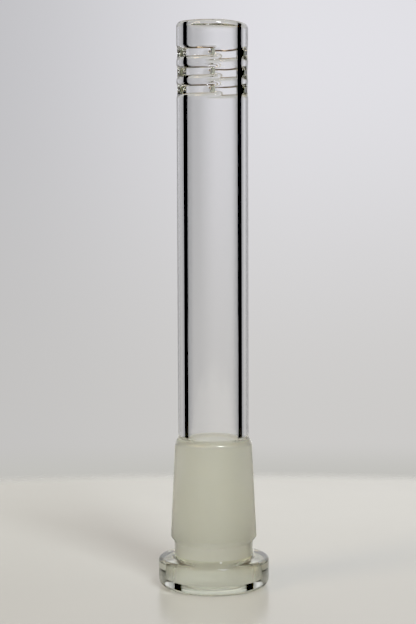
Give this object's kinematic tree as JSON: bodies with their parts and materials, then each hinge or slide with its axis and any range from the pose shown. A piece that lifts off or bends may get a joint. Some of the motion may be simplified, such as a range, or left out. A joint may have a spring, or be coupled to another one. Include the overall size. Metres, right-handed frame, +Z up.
{
  "type": "slotted glass dip tube adapter",
  "caption": "Clear glass dip tube with cross slots below its rounded tip, fused to a frosted ground cone with a ground socket inside, a short neck and a round mouth flange.",
  "frame": {"origin": "centre of the mouth face, which is the bottom of the bounding box", "axes": "+Z up the axis from the mouth to the slotted tip; the slots face 48 degrees from +X and the opposite way"},
  "size_m": [0.0242, 0.0242, 0.123],
  "materials": {
    "clear_glass": "fire-polished clear borosilicate",
    "ground_glass": "frosted ground taper"
  },
  "bodies": {
    "root": {"mouth_flange": "clear_glass", "socket_tube": "clear_glass", "cone_sleeve": "ground_glass", "shoulder_seal": "clear_glass", "slotted_dip_tube": "clear_glass"}
  },
  "joints": []
}
